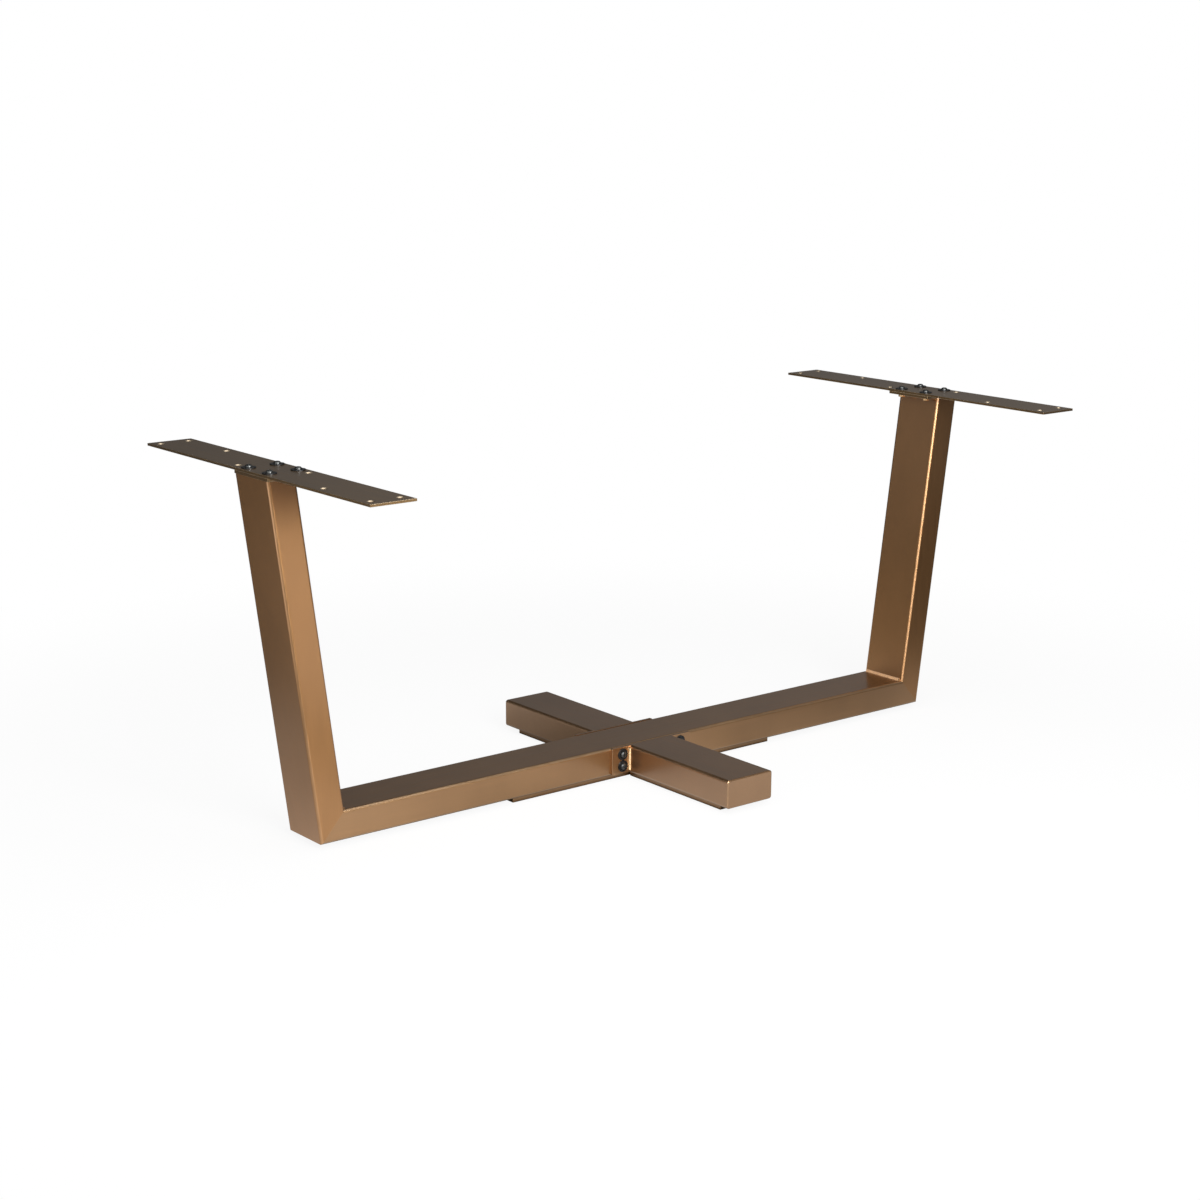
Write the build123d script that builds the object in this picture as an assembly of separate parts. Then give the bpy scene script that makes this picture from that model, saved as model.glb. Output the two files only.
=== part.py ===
from build123d import *
from math import cos, radians, sin, tan
import os

# Dining table underframe: a long rail with two flared legs, two bolted cross arms,
# flat floor strips below and two screw plates on top. Millimetres, Z up.
# X runs along the rail and Y across it. The origin is on the floor at the middle.

# Overall form
frame_length = 1620.0
top_height = 735.0
arm_reach = 375.0
leg_flare = 7.5

# Rectangular tube of the rail, the legs and the cross arms
tube_wide = 120.0
tube_thick = 60.0
tube_wall = 3.0
tube_corner = 6.0

# Flat strips that the underframe stands on
strip_wide = 95.0
strip_thick = 12.0
strip_edge = 0.8
rail_strip_length = 700.0
arm_strip_setback = 35.0
arm_strip_gap = 5.0

# Screw plates under the table top, and the caps welded to the legs
plate_length = 800.0
plate_thick = 5.0
plate_edge = 0.5
cap_thick = 6.0
column_inset = 17.5
screw_end_inset = 25.0
screw_pitches = 5
screw_hole_radius = 5.5
screw_hole_chamfer = 1.8
plate_bolt_pitch = 75.0

# Flanges and closed ends of the cross arms
flange_thick = 6.0
flange_lift = 2.0
flange_corner = 3.0
flange_ear = 28.0
end_cap_thick = 4.0
end_cap_round = 3.0

# Button head bolts with an M8 thread and a hexagon socket
bolt_shank_radius = 3.95
bolt_hole_radius = 4.5
bolt_tip_chamfer = 0.8
bolt_tip_spare = 0.5
head_radius = 7.0
head_rim = 0.7
head_flat_radius = 3.6
head_height = 4.4
head_bulge = 0.65
socket_across = 5.0
socket_depth = 2.6

# Wide washers, welded nuts and rivet nuts
flange_washer_radius = 12.5
plate_washer_radius = 14.0
washer_hole_radius = 4.2
washer_thick = 2.0
washer_edge = 0.3
washer_gap = 0.5
nut_across = 13.0
nut_thick = 6.5
nut_chamfer = 0.8
nut_corner_trim = 0.15
nut_clearance = 5.0
thread_radius = 4.0
rivet_body_radius = 5.5
rivet_bulge_radius = 7.0
rivet_bulge_length = 4.0
rivet_length = 16.5

# Weld beads, given by the length of their legs
corner_weld = 5.0
cap_weld = 5.0
flange_weld = 4.0
flange_weld_gap = 2.0
stitch_weld = 3.0
stitch_length = 30.0
stitch_end = 50.0
stitch_pitch = 150.0
bead_crown = 0.18

# Levels of the frame
flare = radians(leg_flare)
rail_low = strip_thick
rail_high = rail_low + tube_thick
plate_low = top_height - plate_thick
leg_high = plate_low - cap_thick

# Half sizes of the rail, and the flat part of the tube's wide face
half_length = frame_length / 2
half_tube = tube_wide / 2
half_flat = half_tube - tube_corner

# Leg faces where the cap is welded on, and the inner corner above the rail
leg_across = tube_thick / cos(flare)
leg_outer = half_length + (leg_high - rail_low) * tan(flare)
leg_inner = leg_outer - leg_across
corner_inner = half_length - leg_across + tube_thick * tan(flare)

# Screw plate: flush with the leg outside, and wide enough inside for a nut beside the weld
nut_corner_radius = nut_across / 2 / cos(radians(30))
inner_column = leg_inner - cap_weld - nut_clearance - nut_corner_radius
plate_inner = inner_column - column_inset
plate_wide = leg_outer - plate_inner
plate_centre = (leg_outer + plate_inner) / 2
column_offset = plate_wide / 2 - column_inset
screw_pitch = (plate_length - 2 * screw_end_inset) / screw_pitches

# Arm flanges against the rail's sides
flange_far = half_tube + flange_thick
flange_low = rail_low + flange_lift
flange_middle = (flange_low + rail_high) / 2
ear_bolt = half_tube + flange_weld + flange_weld_gap + flange_washer_radius
flange_half = ear_bolt + flange_ear
ear_bolt_pitch = 2 * flange_washer_radius + washer_gap

# Arm tubes and their strips, measured from the rail's centre line
arm_tube_far = arm_reach - end_cap_thick
arm_strip_near = strip_wide / 2 + arm_strip_gap
arm_strip_far = arm_reach - arm_strip_setback

# Bolt lengths below the head
plate_bolt_length = washer_thick + plate_thick + cap_thick + nut_thick + bolt_tip_spare
arm_bolt_length = washer_thick + flange_thick + rivet_length + bolt_tip_spare


def tube_section():
    """Outline of the rectangular tube, wide along the first sketch axis."""
    outer = RectangleRounded(tube_wide, tube_thick, tube_corner)
    inner_wide = tube_wide - 2 * tube_wall
    inner_thick = tube_thick - 2 * tube_wall
    return outer - RectangleRounded(inner_wide, inner_thick, tube_corner - tube_wall)


def mitre_plane(side):
    """Plane of the corner joint at one end of the rail, facing the rail."""
    tilt = radians((90 - leg_flare) / 2)
    return Plane(origin=(side * half_length, 0, rail_low), z_dir=(-side * cos(tilt), 0, -sin(tilt)))


def weld_bead(plane, corner, toe_a, toe_b, length):
    """Bead in an inside corner, with a slightly crowned face, run along the plane's normal."""
    middle = [(a + b) / 2 for a, b in zip(toe_a, toe_b)]
    crown = tuple(m + bead_crown * (m - c) for m, c in zip(middle, corner))
    outline = Line(corner, toe_a) + ThreePointArc(toe_a, crown, toe_b) + Line(toe_b, corner)
    return extrude(plane * make_face(outline), length)


def turned(*points):
    """Solid of revolution about Z from a closed outline of radius and height."""
    return revolve(Plane.XZ * make_face(Polyline(*points, close=True)), Axis.Z)


def drilled_hole(radius, depth, chamfer):
    """Tool for a through hole below Z = 0 with both mouths chamfered."""
    wide = radius + chamfer
    return turned((0, 0), (wide, 0), (radius, -chamfer), (radius, chamfer - depth),
                  (wide, -depth), (0, -depth))


def rounded_flat(length, width, thick, edge):
    """Flat steel piece with its lower face on Z = 0 and softened edges."""
    flat = extrude(Rectangle(length, width), thick)
    return fillet(flat.edges(), edge)


def button_bolt(length):
    """Button head bolt along Z with its head's seat on Z = 0."""
    shoulder = ((head_radius + head_flat_radius) / 2 + head_bulge, (head_rim + head_height) / 2 + head_bulge)
    tip_radius = bolt_shank_radius - bolt_tip_chamfer
    side = Polyline((0, -length), (tip_radius, -length), (bolt_shank_radius, bolt_tip_chamfer - length),
                    (bolt_shank_radius, 0), (head_radius, 0), (head_radius, head_rim))
    dome = ThreePointArc((head_radius, head_rim), shoulder, (head_flat_radius, head_height))
    top = Polyline((head_flat_radius, head_height), (0, head_height), (0, -length))
    bolt = revolve(Plane.XZ * make_face(side + dome + top), Axis.Z)
    socket = RegularPolygon(socket_across / 2, 6, major_radius=False)
    return bolt - extrude(Pos(0, 0, head_height - socket_depth) * socket, socket_depth)


def wide_washer(radius):
    """Wide flat washer standing on Z = 0."""
    ring = extrude(Circle(radius) - Circle(washer_hole_radius), washer_thick)
    return chamfer(ring.edges().filter_by(GeomType.CIRCLE), washer_edge)


def weld_nut():
    """Hexagon nut hanging below Z = 0, with turned corners."""
    blank = extrude(Circle(nut_corner_radius - nut_corner_trim), -nut_thick)
    blank = chamfer(blank.edges().filter_by(GeomType.CIRCLE), nut_chamfer)
    hexagon = extrude(RegularPolygon(nut_across / 2, 6, major_radius=False), -nut_thick)
    return (hexagon & blank) - extrude(Circle(thread_radius), -nut_thick)


def rivet_nut():
    """Rivet nut set flush in a tube wall, with its mouth on Z = 0 and its bulge behind the wall."""
    bulge_end = -tube_wall - rivet_bulge_length
    return turned((thread_radius, 0), (rivet_body_radius, 0), (rivet_body_radius, -tube_wall),
                  (rivet_bulge_radius, -tube_wall), (rivet_bulge_radius, bulge_end),
                  (rivet_body_radius, bulge_end), (rivet_body_radius, -rivet_length),
                  (thread_radius, -rivet_length))


def group(shape, places):
    """Copies of one fastener as separate solids of one node."""
    return Compound([place * shape for place in places])


def plate_bolt_places(side, height):
    """Places on one leg's plate bolt axes at a height."""
    columns = (side * plate_centre - column_offset, side * plate_centre + column_offset)
    rows = (-plate_bolt_pitch / 2, plate_bolt_pitch / 2)
    return [Pos(x, y, height) for x in columns for y in rows]


def arm_bolt_places(distance):
    """Places on the front arm's bolt axes, facing out at a distance from the rail's centre line."""
    rows = (flange_middle - ear_bolt_pitch / 2, flange_middle + ear_bolt_pitch / 2)
    return [Plane((x, -distance, z), x_dir=(1, 0, 0), z_dir=(0, -1, 0)).location
            for x in (-ear_bolt, ear_bolt) for z in rows]


def screw_places():
    """Wood screw holes from a plate's middle: pairs at the ends, then one on each side in turn."""
    first = plate_length / 2 - screw_end_inset
    places = [Pos(x, y, 0) for x in (-column_offset, column_offset) for y in (-first, first)]
    for row in range(1, screw_pitches):
        side = 1 if row % 2 else -1
        places.append(Pos(side * column_offset, first - row * screw_pitch, 0))
    return places


def stitch_centres(low, high):
    """Middles of the stitch welds along a strip that runs from low to high."""
    run = high - low - 2 * stitch_end
    gaps = max(1, round(run / stitch_pitch))
    return [low + stitch_end + run * step / gaps for step in range(gaps + 1)]


def rail_tube():
    """Rail cut to its two mitres, with holes for the rivet nuts in both sides."""
    middle = (rail_low + rail_high) / 2
    rail = extrude(Plane.YZ * Pos(0, middle) * tube_section(), half_length, both=True)
    for side in (-1, 1):
        rail = split(rail, bisect_by=mitre_plane(side), keep=Keep.TOP)
    for place in arm_bolt_places(half_tube):
        rail -= place * extrude(Circle(rivet_body_radius), 2 * tube_wide, both=True)
    return rail


def left_leg_tube():
    """Flared leg from the rail's mitre up to the cap."""
    centre = (-half_length + cos(flare) * tube_thick / 2, 0, rail_low + sin(flare) * tube_thick / 2)
    along = Plane(origin=centre, x_dir=(0, 1, 0), z_dir=(-sin(flare), 0, cos(flare)))
    leg = extrude(along * tube_section(), top_height / cos(flare), both=True)
    leg = split(leg, bisect_by=mitre_plane(-1), keep=Keep.BOTTOM)
    return split(leg, bisect_by=Plane((0, 0, leg_high)), keep=Keep.BOTTOM)


def left_corner_weld():
    """Bead across the inside corner between the leg and the rail."""
    corner = (-corner_inner, rail_high)
    on_rail = (corner[0] + corner_weld, rail_high)
    on_leg = (corner[0] - corner_weld * sin(flare), rail_high + corner_weld * cos(flare))
    return weld_bead(Plane.XZ.offset(-half_flat), corner, on_rail, on_leg, 2 * half_flat)


def left_cap_weld():
    """Bead below the cap along the leg's inner face."""
    corner = (-leg_inner, leg_high)
    on_cap = (corner[0] + cap_weld, leg_high)
    on_leg = (corner[0] + cap_weld * sin(flare), leg_high - cap_weld * cos(flare))
    return weld_bead(Plane.XZ.offset(-half_flat), corner, on_cap, on_leg, 2 * half_flat)


def left_cap_plate():
    """Plate closing the leg's top and carrying the welded nuts."""
    cap = Pos(-plate_centre, 0, leg_high) * rounded_flat(plate_wide, tube_wide, cap_thick, plate_edge)
    for place in plate_bolt_places(-1, plate_low):
        cap -= place * extrude(Circle(bolt_hole_radius), -cap_thick)
    return cap


def mounting_plate(side):
    """Screw plate that the table top sits on."""
    blank = rounded_flat(plate_wide, plate_length, plate_thick, plate_edge)
    plate = Pos(side * plate_centre, 0, plate_low) * blank
    for place in plate_bolt_places(side, top_height):
        plate -= place * extrude(Circle(bolt_hole_radius), -plate_thick)
    for place in screw_places():
        hole = drilled_hole(screw_hole_radius, plate_thick, screw_hole_chamfer)
        plate -= Pos(side * plate_centre, 0, top_height) * place * hole
    return plate


def front_arm_tube():
    """Cross arm tube between its flange and its end cap."""
    middle = (rail_low + rail_high) / 2
    section = Plane.XZ.offset(flange_far) * Pos(0, middle) * tube_section()
    return extrude(section, arm_tube_far - flange_far)


def front_arm_end_cap():
    """Plate closing the arm's outer end, with a rounded rim."""
    middle = (rail_low + rail_high) / 2
    outside = RectangleRounded(tube_wide, tube_thick, tube_corner)
    outline = Plane.XZ.offset(arm_tube_far) * Pos(0, middle) * outside
    cap = extrude(outline, end_cap_thick)
    return fillet(cap.faces().sort_by(Axis.Y)[0].edges(), end_cap_round)


def front_arm_flange():
    """Flange welded to the arm and bolted through its ears to the rail's side."""
    height = rail_high - flange_low
    outside = RectangleRounded(2 * flange_half, height, flange_corner)
    outline = Plane.XZ.offset(half_tube) * Pos(0, flange_middle) * outside
    flange = extrude(outline, flange_thick)
    flange = fillet(flange.faces().sort_by(Axis.Y)[0].edges(), plate_edge)
    for place in arm_bolt_places(flange_far):
        flange -= place * extrude(Circle(bolt_hole_radius), -flange_thick)
    return flange


def front_flange_welds():
    """Upright beads in the corners between the arm's sides and its flange."""
    low = rail_low + tube_corner
    beads = []
    for side in (-1, 1):
        corner = (side * half_tube, -flange_far)
        on_flange = (side * (half_tube + flange_weld), -flange_far)
        on_arm = (side * half_tube, -flange_far - flange_weld)
        length = tube_thick - 2 * tube_corner
        beads.append(weld_bead(Plane.XY.offset(low), corner, on_flange, on_arm, length))
    return Compound(beads)


def rail_strip():
    """Strip below the middle of the rail."""
    return rounded_flat(rail_strip_length, strip_wide, strip_thick, strip_edge)


def front_arm_strip():
    """Strip below the cross arm, ending short of the arm's end."""
    middle = (arm_strip_near + arm_strip_far) / 2
    length = arm_strip_far - arm_strip_near
    return Pos(0, -middle, 0) * rounded_flat(strip_wide, length, strip_thick, strip_edge)


def strip_stitches(plane, centres):
    """Short beads along both edges of a strip, in the step below the tube."""
    beads = []
    for centre in centres:
        for side in (-1, 1):
            corner = (side * strip_wide / 2, strip_thick)
            on_tube = (side * (strip_wide / 2 + stitch_weld), strip_thick)
            on_strip = (side * strip_wide / 2, strip_thick - stitch_weld)
            start = plane.offset(centre - stitch_length / 2)
            beads.append(weld_bead(start, corner, on_tube, on_strip, stitch_length))
    return Compound(beads)


def left_leg_nodes():
    """Pieces of the left leg that the right leg mirrors."""
    return {
        "leg_tube": left_leg_tube(),
        "corner_weld": left_corner_weld(),
        "cap_plate": left_cap_plate(),
        "cap_weld": left_cap_weld(),
        "weld_nuts": group(weld_nut(), plate_bolt_places(-1, leg_high)),
    }


def front_arm_nodes():
    """Pieces of the front cross arm that the back arm mirrors."""
    return {
        "arm_tube": front_arm_tube(),
        "arm_end_cap": front_arm_end_cap(),
        "arm_flange": front_arm_flange(),
        "flange_welds": front_flange_welds(),
        "arm_strip": front_arm_strip(),
        "arm_strip_welds": strip_stitches(Plane.XZ, stitch_centres(arm_strip_near, arm_strip_far)),
        "arm_washers": group(wide_washer(flange_washer_radius), arm_bolt_places(flange_far)),
        "arm_bolts": group(button_bolt(arm_bolt_length), arm_bolt_places(flange_far + washer_thick)),
        "rivet_nuts": group(rivet_nut(), arm_bolt_places(half_tube)),
    }


def screw_plate_nodes(side):
    """Screw plate of one leg with its washers and bolts."""
    return {
        "mounting_plate": mounting_plate(side),
        "plate_washers": group(wide_washer(plate_washer_radius), plate_bolt_places(side, top_height)),
        "plate_bolts": group(button_bolt(plate_bolt_length),
                             plate_bolt_places(side, top_height + washer_thick)),
    }


def all_nodes():
    """Every piece of the underframe by its node name."""
    half_strip = rail_strip_length / 2
    nodes = {"rail_tube": rail_tube(), "rail_strip": rail_strip()}
    nodes["rail_strip_welds"] = strip_stitches(Plane.YZ, stitch_centres(-half_strip, half_strip))
    for name, shape in left_leg_nodes().items():
        nodes["left_" + name] = shape
        nodes["right_" + name] = mirror(shape, about=Plane.YZ)
    for name, shape in front_arm_nodes().items():
        nodes["front_" + name] = shape
        nodes["back_" + name] = mirror(shape, about=Plane.XZ)
    for label, side in (("left_", -1), ("right_", 1)):
        for name, shape in screw_plate_nodes(side).items():
            nodes[label + name] = shape
    return nodes


os.makedirs("parts", exist_ok=True)
for name, shape in all_nodes().items():
    export_step(shape, f"parts/{name}.step")
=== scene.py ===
"""Dresses the table underframe: lacquered tubes, rippled welds, black bolts, pale studio."""

import logging
from dataclasses import dataclass, replace
from enum import Enum
from math import cos, pi, radians, sin, tan

import bmesh
import bpy
from mathutils import Matrix, Vector


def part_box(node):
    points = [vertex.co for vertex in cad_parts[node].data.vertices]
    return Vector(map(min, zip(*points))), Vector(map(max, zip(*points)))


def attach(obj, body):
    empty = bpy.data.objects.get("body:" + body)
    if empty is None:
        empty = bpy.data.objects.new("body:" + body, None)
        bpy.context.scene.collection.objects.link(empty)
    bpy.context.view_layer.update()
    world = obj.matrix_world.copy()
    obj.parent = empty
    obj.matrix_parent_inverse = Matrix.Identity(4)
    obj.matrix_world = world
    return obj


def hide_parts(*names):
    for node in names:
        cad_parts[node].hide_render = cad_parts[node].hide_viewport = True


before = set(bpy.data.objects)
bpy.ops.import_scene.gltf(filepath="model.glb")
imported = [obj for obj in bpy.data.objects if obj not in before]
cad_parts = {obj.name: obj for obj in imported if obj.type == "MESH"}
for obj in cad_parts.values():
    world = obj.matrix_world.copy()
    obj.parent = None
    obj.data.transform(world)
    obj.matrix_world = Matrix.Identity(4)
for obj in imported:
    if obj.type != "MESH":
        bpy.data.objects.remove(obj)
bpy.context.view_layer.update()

log = logging.getLogger("underframe")

MM = 0.001
PURE_WHITE = (1.0, 1.0, 1.0)
RAIL_STITCH_GAP = 150 * MM

Color = tuple[float, float, float]
Triple = tuple[float, float, float]


class Ray(Enum):
    """Kinds of ray that the Light Path node tells apart."""

    CAMERA = "Is Camera Ray"
    GLOSSY = "Is Glossy Ray"
    TRANSMISSION = "Is Transmission Ray"


class Side(Enum):
    """The two ends of the rail, or the two sides of it, with their signs."""

    LEFT = ("left", -1)
    RIGHT = ("right", 1)
    FRONT = ("front", -1)
    BACK = ("back", 1)

    @property
    def label(self) -> str:
        """First word of the side's node names."""
        return self.value[0]

    @property
    def sign(self) -> int:
        """Sign of the side along its axis."""
        return self.value[1]


class NodeSheet:
    """A node tree with short ways to add, set and join nodes."""

    def __init__(self, tree: bpy.types.NodeTree) -> None:
        """Keeps the tree.

        Args:
            tree: The node tree that nodes are added to.
        """
        self.tree = tree
        self.column = 0

    def add(self, kind: str, inputs: dict | None = None, **settings: object) -> bpy.types.Node:
        """Adds one node.

        Args:
            kind: The node's type, such as ShaderNodeMath.
            inputs: Socket names or numbers with a value, or with a socket to link from.
            settings: Attributes to set on the node.

        Returns:
            The new node.
        """
        node = self.tree.nodes.new(kind)
        node.location = (self.column * 190, -(self.column % 4) * 140)
        self.column += 1
        for name, value in settings.items():
            setattr(node, name, value)
        for name, value in (inputs or {}).items():
            if isinstance(value, bpy.types.NodeSocket):
                self.tree.links.new(value, node.inputs[name])
            else:
                node.inputs[name].default_value = value
        return node

    def math(self, operation: str, first: object, second: object = 0.0) -> bpy.types.NodeSocket:
        """Adds a Math node.

        Args:
            operation: The node's operation.
            first: First number or socket.
            second: Second number or socket.

        Returns:
            The node's value socket.
        """
        return self.add("ShaderNodeMath", {0: first, 1: second}, operation=operation).outputs[0]

    def blend(self, factor: object, low: object, high: object) -> bpy.types.NodeSocket:
        """Adds a colour Mix node.

        Args:
            factor: Number or socket between the two colours.
            low: Colour or socket at factor 0.
            high: Colour or socket at factor 1.

        Returns:
            The mixed colour socket.
        """
        return self.add("ShaderNodeMix", {0: factor, 6: low, 7: high}, data_type="RGBA").outputs[2]

    def remap(self, value: object, low: float, high: float, to_low: float,
              to_high: float) -> bpy.types.NodeSocket:
        """Adds a Map Range node.

        Args:
            value: The socket to map.
            low: Start of the input range.
            high: End of the input range.
            to_low: Output at the start.
            to_high: Output at the end.

        Returns:
            The mapped value socket.
        """
        inputs = {0: value, 1: low, 2: high, 3: to_low, 4: to_high}
        return self.add("ShaderNodeMapRange", inputs, interpolation_type="SMOOTHSTEP").outputs[0]


def opaque(color: Color) -> tuple[float, float, float, float]:
    """The colour with full alpha."""
    return (*color, 1.0)


def empty_material(name: str) -> tuple[bpy.types.Material, NodeSheet]:
    """Makes a material with no nodes.

    Args:
        name: The material's name.

    Returns:
        The material and the sheet of its nodes.
    """
    made = bpy.data.materials.new(name)
    made.use_nodes = True
    made.node_tree.nodes.clear()
    return made, NodeSheet(made.node_tree)


def mesh_object(name: str, bm: bmesh.types.BMesh) -> bpy.types.Object:
    """Turns a finished bmesh into an object in the scene.

    Args:
        name: Name of the object and of its mesh.
        bm: The shape, which is freed.

    Returns:
        The new object.
    """
    mesh = bpy.data.meshes.new(name)
    bm.to_mesh(mesh)
    bm.free()
    piece = bpy.data.objects.new(name, mesh)
    bpy.context.scene.collection.objects.link(piece)
    return piece


class Effects:
    """Node groups that several finishes share, each built once."""

    def __init__(self) -> None:
        """Starts with no group built."""
        self.groups: dict[str, bpy.types.NodeTree] = {}

    def start(self, name: str, inputs: dict[str, tuple[str, object]],
              outputs: dict[str, str]) -> NodeSheet:
        """Makes an empty group with its sockets.

        Args:
            name: The group's name.
            inputs: Socket names with their type and default value.
            outputs: Socket names with their type.

        Returns:
            The sheet of the new group.
        """
        group = bpy.data.node_groups.new(name, "ShaderNodeTree")
        for label, (kind, value) in inputs.items():
            socket = group.interface.new_socket(name=label, in_out="INPUT", socket_type=kind)
            socket.default_value = value
        for label, kind in outputs.items():
            group.interface.new_socket(name=label, in_out="OUTPUT", socket_type=kind)
        self.groups[name] = group
        return NodeSheet(group)

    def brushing(self) -> bpy.types.NodeTree:
        """Hairlines from a sanding belt over soft clouds of lacquer.

        Returns:
            The group, with outputs Tone and Height.
        """
        if "Brushing" in self.groups:
            return self.groups["Brushing"]
        sheet = self.start(
            "Brushing",
            {
                "Hairline scale": ("NodeSocketVector", (8.0, 900.0, 900.0)),
                "Cloud scale": ("NodeSocketVector", (9.0, 9.0, 3.0)),
                "Hairline share": ("NodeSocketFloat", 0.35),
            },
            {"Tone": "NodeSocketFloat", "Height": "NodeSocketFloat"},
        )
        given = sheet.add("NodeGroupInput")
        place = sheet.add("ShaderNodeTexCoord").outputs["Object"]
        fine = sheet.add("ShaderNodeMapping", {"Vector": place,
                                               "Scale": given.outputs["Hairline scale"]})
        hair = sheet.add("ShaderNodeTexNoise", {"Vector": fine.outputs[0], "Scale": 1.0,
                                                "Detail": 3.0})
        wide = sheet.add("ShaderNodeMapping", {"Vector": place,
                                               "Scale": given.outputs["Cloud scale"]})
        cloud = sheet.add("ShaderNodeTexNoise", {"Vector": wide.outputs[0], "Scale": 1.0,
                                                 "Detail": 4.0, "Roughness": 0.55})
        share = given.outputs["Hairline share"]
        hair_part = sheet.math("MULTIPLY", hair.outputs[0], share)
        cloud_part = sheet.math("MULTIPLY", cloud.outputs[0], sheet.math("SUBTRACT", 1.0, share))
        tone = sheet.math("ADD", hair_part, cloud_part)
        sheet.add("NodeGroupOutput", {"Tone": tone, "Height": hair.outputs[0]})
        return sheet.tree

    def worn_edges(self) -> bpy.types.NodeTree:
        """Mask of the sharp edges, where lacquer is thin; on the bronze finishes it also carries a
        painted highlight.

        Returns:
            The group, with the output Mask.
        """
        if "Worn edges" in self.groups:
            return self.groups["Worn edges"]
        sheet = self.start(
            "Worn edges",
            {"Width": ("NodeSocketFloat", 0.001), "Breakup": ("NodeSocketFloat", 60.0)},
            {"Mask": "NodeSocketFloat"},
        )
        given = sheet.add("NodeGroupInput")
        soft = sheet.add("ShaderNodeBevel", {"Radius": given.outputs["Width"]}, samples=4)
        surface = sheet.add("ShaderNodeNewGeometry")
        turn = sheet.add("ShaderNodeVectorMath", {0: soft.outputs[0], 1: surface.outputs["Normal"]},
                         operation="DOT_PRODUCT")
        flat, sharp, least_wear = 0.995, 0.86, 0.25
        edge = sheet.remap(turn.outputs["Value"], flat, sharp, 0.0, 1.0)
        place = sheet.add("ShaderNodeTexCoord").outputs["Object"]
        patch = sheet.add("ShaderNodeTexNoise", {"Vector": place, "Detail": 4.0,
                                                 "Scale": given.outputs["Breakup"]})
        broken = sheet.remap(patch.outputs[0], 0.38, 0.62, least_wear, 1.0)
        sheet.add("NodeGroupOutput", {"Mask": sheet.math("MULTIPLY", edge, broken)})
        return sheet.tree

    def turned_corners(self) -> bpy.types.NodeTree:
        """Mask of the rounded corners and chamfers beside flat faces, where lacquer is thin and
        where a lighter colour also stands in for a painted highlight.

        Returns:
            The group, with the output Mask.
        """
        if "Turned corners" in self.groups:
            return self.groups["Turned corners"]
        sheet = self.start(
            "Turned corners",
            {"Across": ("NodeSocketVector", (0.0, 1.0, 0.0)), "Breakup": ("NodeSocketFloat", 30.0)},
            {"Mask": "NodeSocketFloat"},
        )
        given = sheet.add("NodeGroupInput")
        facing = sheet.add("ShaderNodeNewGeometry").outputs["Normal"]
        along = sheet.add("ShaderNodeVectorMath", {0: facing, 1: given.outputs["Across"]},
                          operation="DOT_PRODUCT")
        square = sheet.math("POWER", sheet.math("ABSOLUTE", along.outputs["Value"]), 2.0)
        between = sheet.math("MULTIPLY", square, sheet.math("SUBTRACT", 1.0, square))
        flat, turned, least_wear = 0.02, 0.18, 0.65
        corner = sheet.remap(between, flat, turned, 0.0, 1.0)
        place = sheet.add("ShaderNodeTexCoord").outputs["Object"]
        patch = sheet.add("ShaderNodeTexNoise", {"Vector": place, "Detail": 4.0,
                                                 "Scale": given.outputs["Breakup"]})
        broken = sheet.remap(patch.outputs[0], 0.35, 0.6, least_wear, 1.0)
        sheet.add("NodeGroupOutput", {"Mask": sheet.math("MULTIPLY", corner, broken)})
        return sheet.tree

    def heat_tint(self) -> bpy.types.NodeTree:
        """Painted shade: darker lacquer on a leg's front face, just below its welded cap.

        Returns:
            The group, with the output Mask.
        """
        if "Painted shade" in self.groups:
            return self.groups["Painted shade"]
        sheet = self.start("Painted shade", {"Facing": ("NodeSocketVector", (0.0, -1.0, 0.0))},
                           {"Mask": "NodeSocketFloat"})
        given = sheet.add("NodeGroupInput")
        normal = sheet.add("ShaderNodeNewGeometry").outputs["Normal"]
        toward = sheet.add("ShaderNodeVectorMath", {0: normal, 1: given.outputs["Facing"]},
                           operation="DOT_PRODUCT").outputs["Value"]
        place = sheet.add("ShaderNodeTexCoord").outputs["Object"]
        height = sheet.add("ShaderNodeSeparateXYZ", {0: place}).outputs["Z"]
        # Heights where the painted shade starts and where it is full.
        shade_starts, shade_full = 610 * MM, 715 * MM
        turned_away, face_on = 0.6, 0.95
        near = sheet.remap(height, shade_starts, shade_full, 0.0, 1.0)
        face = sheet.remap(toward, turned_away, face_on, 0.0, 1.0)
        sheet.add("NodeGroupOutput", {"Mask": sheet.math("MULTIPLY", near, face)})
        return sheet.tree

    def dust(self) -> bpy.types.NodeTree:
        """Fine dust that lies on faces that look up.

        Returns:
            The group, with the output Mask.
        """
        if "Dust" in self.groups:
            return self.groups["Dust"]
        sheet = self.start(
            "Dust",
            {"Amount": ("NodeSocketFloat", 0.3), "Speck scale": ("NodeSocketFloat", 700.0)},
            {"Mask": "NodeSocketFloat"},
        )
        given = sheet.add("NodeGroupInput")
        facing = sheet.add("ShaderNodeNewGeometry").outputs["Normal"]
        up = sheet.add("ShaderNodeSeparateXYZ", {0: facing}).outputs["Z"]
        sloping, looking_up, least_dust = 0.3, 0.95, 0.2
        level = sheet.remap(up, sloping, looking_up, 0.0, 1.0)
        place = sheet.add("ShaderNodeTexCoord").outputs["Object"]
        speck = sheet.add("ShaderNodeTexNoise", {"Vector": place, "Detail": 2.0,
                                                 "Scale": given.outputs["Speck scale"]})
        drift = sheet.add("ShaderNodeTexNoise", {"Vector": place, "Scale": 7.0, "Detail": 3.0})
        spread = sheet.remap(speck.outputs[0], 0.45, 0.75, least_dust, 1.0)
        grain = sheet.math("MULTIPLY", spread, drift.outputs[0])
        lying = sheet.math("MULTIPLY", level, grain)
        mask = sheet.math("MULTIPLY", lying, given.outputs["Amount"])
        sheet.add("NodeGroupOutput", {"Mask": mask})
        return sheet.tree


EFFECTS = Effects()


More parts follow.
